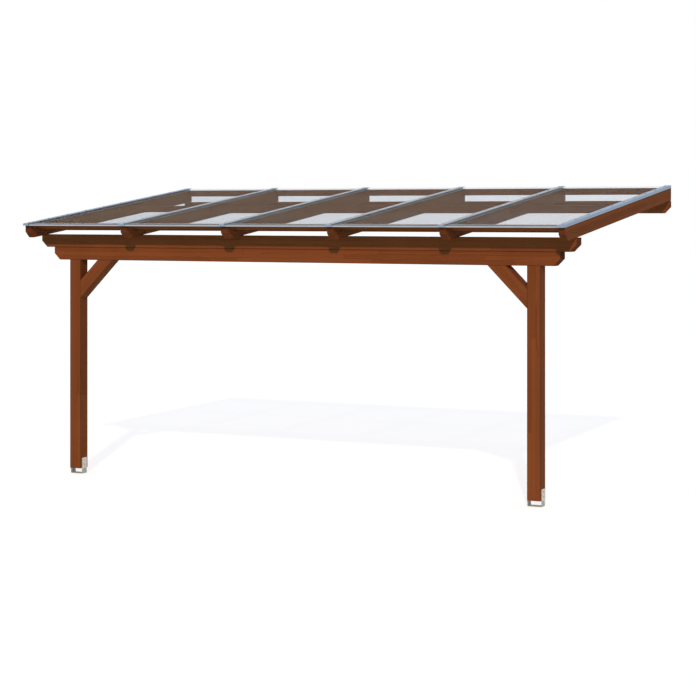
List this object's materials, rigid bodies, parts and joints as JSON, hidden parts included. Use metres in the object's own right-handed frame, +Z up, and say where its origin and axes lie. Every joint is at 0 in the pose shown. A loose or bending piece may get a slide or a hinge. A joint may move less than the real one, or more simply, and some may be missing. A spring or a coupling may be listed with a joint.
{
  "type": "attached patio cover",
  "caption": "Lean-to patio cover of brown square timber: braced posts carry a double front beam and sloping rafters under clear twin-wall sheets, and its back purlin bears on a wall.",
  "frame": {"origin": "centre of the wall purlin's back face, which bears on the wall; the ground under the posts is 2.532 m below it", "axes": "+X along the wall to the right as seen from the garden, +Y square into the wall, +Z up"},
  "size_m": [5.41, 2.9671, 2.7412],
  "materials": {
    "timber": "nut-brown stained glulam, satin",
    "clear_sheet": "clear twin-wall polycarbonate, gloss",
    "aluminium_trim": "mill finish, satin",
    "zinc_steel": "hot-dip galvanised",
    "gasket_rubber": "matt grey rubber"
  },
  "bodies": {
    "root": {"brace_left": "timber", "brace_right": "timber", "cover_profile_1": "aluminium_trim", "cover_profile_2": "aluminium_trim", "cover_profile_3": "aluminium_trim", "cover_profile_4": "aluminium_trim", "cover_profile_5": "aluminium_trim", "cover_profile_6": "aluminium_trim", "eave_batten_1": "timber", "eave_batten_2": "timber", "eave_batten_3": "timber", "eave_batten_4": "timber", "eave_batten_5": "timber", "eave_profile_1": "aluminium_trim", "eave_profile_2": "aluminium_trim", "eave_profile_3": "aluminium_trim", "eave_profile_4": "aluminium_trim", "eave_profile_5": "aluminium_trim", "eave_purlin": "timber", "front_beam": "timber", "glazing_gaskets": "gasket_rubber", "mid_battens": "timber", "post_bracket_left": "zinc_steel", "post_bracket_right": "zinc_steel", "post_left": "timber", "post_right": "timber", "rafter_1": "timber", "rafter_2": "timber", "rafter_3": "timber", "rafter_4": "timber", "rafter_5": "timber", "rafter_6": "timber", "roof_sheet_1": "clear_sheet", "roof_sheet_2": "clear_sheet", "roof_sheet_3": "clear_sheet", "roof_sheet_4": "clear_sheet", "roof_sheet_5": "clear_sheet", "wall_batten_1": "timber", "wall_batten_2": "timber", "wall_batten_3": "timber", "wall_batten_4": "timber", "wall_batten_5": "timber", "wall_purlin": "timber"}
  },
  "joints": []
}
